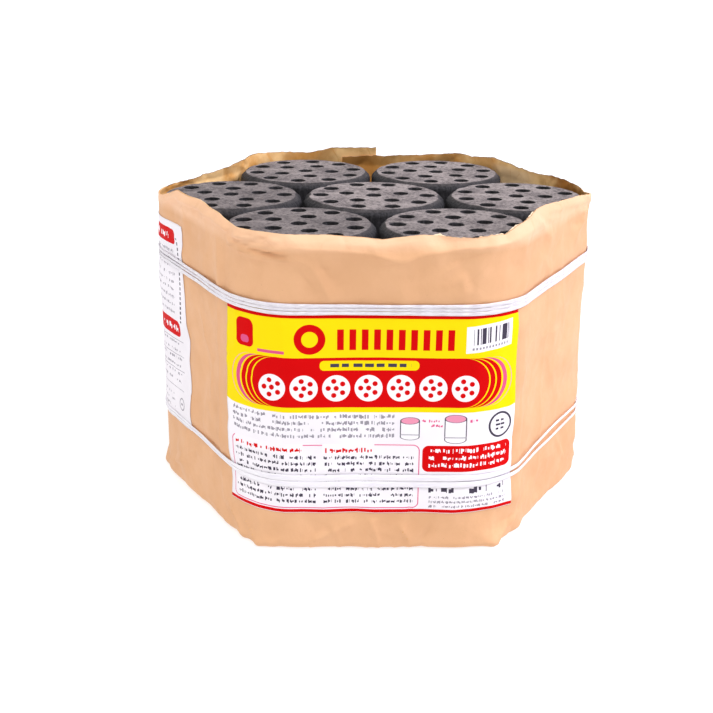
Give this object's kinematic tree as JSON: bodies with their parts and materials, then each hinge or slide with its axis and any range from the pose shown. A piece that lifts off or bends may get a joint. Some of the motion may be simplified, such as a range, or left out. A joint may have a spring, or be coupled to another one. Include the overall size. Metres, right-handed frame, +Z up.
{
  "type": "pack of honeycomb charcoal briquettes",
  "caption": "Torn-open hexagonal paper pack of cylindrical honeycomb charcoal briquettes in two layers, tied round twice with twine; each briquette lifts out.",
  "frame": {"origin": "centre of the pack's underside, on the surface that it stands on", "axes": "+Z up, -Y out of the face with the large label, +X to that face's right, along the hexagon's long diagonal"},
  "size_m": [0.3712, 0.3394, 0.266],
  "materials": {
    "charcoal": "matte, fine-grained pressed charcoal",
    "ignition_compound": "matte, slightly browner and coarser than the block",
    "kraft_paper": "matte brown wrapping paper, creased",
    "label_paper": null,
    "twine": "split-film polypropylene twine, silky white"
  },
  "bodies": {
    "pack": {"wrap_sleeve": "kraft_paper", "wrap_bottom_fold": "kraft_paper", "front_label": "label_paper", "side_label": "label_paper", "upper_twine": "twine", "upper_twine_knot": "twine", "lower_twine": "twine", "lower_twine_knot": "twine"},
    "lower_briquette_centre": {"lower_block_centre": "charcoal", "lower_ignition_layer_centre": "ignition_compound"},
    "lower_briquette_right": {"lower_block_right": "charcoal", "lower_ignition_layer_right": "ignition_compound"},
    "lower_briquette_back_right": {"lower_block_back_right": "charcoal", "lower_ignition_layer_back_right": "ignition_compound"},
    "lower_briquette_back_left": {"lower_block_back_left": "charcoal", "lower_ignition_layer_back_left": "ignition_compound"},
    "lower_briquette_left": {"lower_block_left": "charcoal", "lower_ignition_layer_left": "ignition_compound"},
    "lower_briquette_front_left": {"lower_block_front_left": "charcoal", "lower_ignition_layer_front_left": "ignition_compound"},
    "lower_briquette_front_right": {"lower_block_front_right": "charcoal", "lower_ignition_layer_front_right": "ignition_compound"},
    "upper_briquette_centre": {"upper_block_centre": "charcoal", "upper_ignition_layer_centre": "ignition_compound"},
    "upper_briquette_right": {"upper_block_right": "charcoal", "upper_ignition_layer_right": "ignition_compound"},
    "upper_briquette_back_right": {"upper_block_back_right": "charcoal", "upper_ignition_layer_back_right": "ignition_compound"},
    "upper_briquette_back_left": {"upper_block_back_left": "charcoal", "upper_ignition_layer_back_left": "ignition_compound"},
    "upper_briquette_left": {"upper_block_left": "charcoal", "upper_ignition_layer_left": "ignition_compound"},
    "upper_briquette_front_left": {"upper_block_front_left": "charcoal", "upper_ignition_layer_front_left": "ignition_compound"},
    "upper_briquette_front_right": {"upper_block_front_right": "charcoal", "upper_ignition_layer_front_right": "ignition_compound"}
  },
  "joints": [
    {"name": "lift_lower_centre", "type": "slide", "parent": "pack", "child": "lower_briquette_centre", "axis": [0, 0, 1], "range_m": [0, 0.28]},
    {"name": "lift_lower_right", "type": "slide", "parent": "pack", "child": "lower_briquette_right", "axis": [0, 0, 1], "range_m": [0, 0.28]},
    {"name": "lift_lower_back_right", "type": "slide", "parent": "pack", "child": "lower_briquette_back_right", "axis": [0, 0, 1], "range_m": [0, 0.28]},
    {"name": "lift_lower_back_left", "type": "slide", "parent": "pack", "child": "lower_briquette_back_left", "axis": [0, 0, 1], "range_m": [0, 0.28]},
    {"name": "lift_lower_left", "type": "slide", "parent": "pack", "child": "lower_briquette_left", "axis": [0, 0, 1], "range_m": [0, 0.28]},
    {"name": "lift_lower_front_left", "type": "slide", "parent": "pack", "child": "lower_briquette_front_left", "axis": [0, 0, 1], "range_m": [0, 0.28]},
    {"name": "lift_lower_front_right", "type": "slide", "parent": "pack", "child": "lower_briquette_front_right", "axis": [0, 0, 1], "range_m": [0, 0.28]},
    {"name": "lift_upper_centre", "type": "slide", "parent": "lower_briquette_centre", "child": "upper_briquette_centre", "axis": [0, 0, 1], "range_m": [0, 0.16]},
    {"name": "lift_upper_right", "type": "slide", "parent": "lower_briquette_right", "child": "upper_briquette_right", "axis": [0, 0, 1], "range_m": [0, 0.16]},
    {"name": "lift_upper_back_right", "type": "slide", "parent": "lower_briquette_back_right", "child": "upper_briquette_back_right", "axis": [0, 0, 1], "range_m": [0, 0.16]},
    {"name": "lift_upper_back_left", "type": "slide", "parent": "lower_briquette_back_left", "child": "upper_briquette_back_left", "axis": [0, 0, 1], "range_m": [0, 0.16]},
    {"name": "lift_upper_left", "type": "slide", "parent": "lower_briquette_left", "child": "upper_briquette_left", "axis": [0, 0, 1], "range_m": [0, 0.16]},
    {"name": "lift_upper_front_left", "type": "slide", "parent": "lower_briquette_front_left", "child": "upper_briquette_front_left", "axis": [0, 0, 1], "range_m": [0, 0.16]},
    {"name": "lift_upper_front_right", "type": "slide", "parent": "lower_briquette_front_right", "child": "upper_briquette_front_right", "axis": [0, 0, 1], "range_m": [0, 0.16]}
  ]
}
